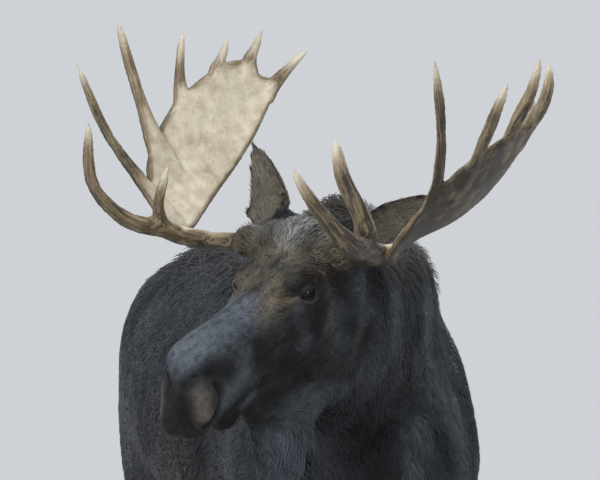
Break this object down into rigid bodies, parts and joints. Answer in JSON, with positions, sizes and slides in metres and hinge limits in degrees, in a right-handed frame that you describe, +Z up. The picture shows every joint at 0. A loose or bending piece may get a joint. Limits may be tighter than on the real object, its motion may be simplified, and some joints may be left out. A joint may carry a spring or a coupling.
{
  "type": "bull moose figure",
  "caption": "Life-size still model of a standing bull moose with broad palmate antlers, its head turned and lowered, in dark brown winter coat with a long bell under the throat.",
  "frame": {"origin": "centre of the bounding box at floor level, under the belly", "axes": "+Z up, -Y the way the body faces, +X the animal's left side"},
  "size_m": [1.108, 2.818, 2.2354],
  "materials": {
    "coat": "dark brown hair",
    "antler": "weathered bone",
    "horn": "dull dark horn",
    "eye": "glossy"
  },
  "bodies": {
    "root": {"antler_left_beam": "antler", "antler_left_brow": "antler", "antler_left_palm": "antler", "antler_right_beam": "antler", "antler_right_brow": "antler", "antler_right_palm": "antler", "bell": "coat", "dewclaw_fore_left_inner": "horn", "dewclaw_fore_left_outer": "horn", "dewclaw_fore_right_inner": "horn", "dewclaw_fore_right_outer": "horn", "dewclaw_hind_left_inner": "horn", "dewclaw_hind_left_outer": "horn", "dewclaw_hind_right_inner": "horn", "dewclaw_hind_right_outer": "horn", "ear_left": "coat", "ear_right": "coat", "eye_left": "eye", "eye_right": "eye", "foreleg_left": "coat", "foreleg_right": "coat", "head": "coat", "hindleg_left": "coat", "hindleg_right": "coat", "hoof_fore_left_inner": "horn", "hoof_fore_left_outer": "horn", "hoof_fore_right_inner": "horn", "hoof_fore_right_outer": "horn", "hoof_hind_left_inner": "horn", "hoof_hind_left_outer": "horn", "hoof_hind_right_inner": "horn", "hoof_hind_right_outer": "horn", "jaw": "coat", "neck": "coat", "tail": "coat", "trunk": "coat"}
  },
  "joints": []
}
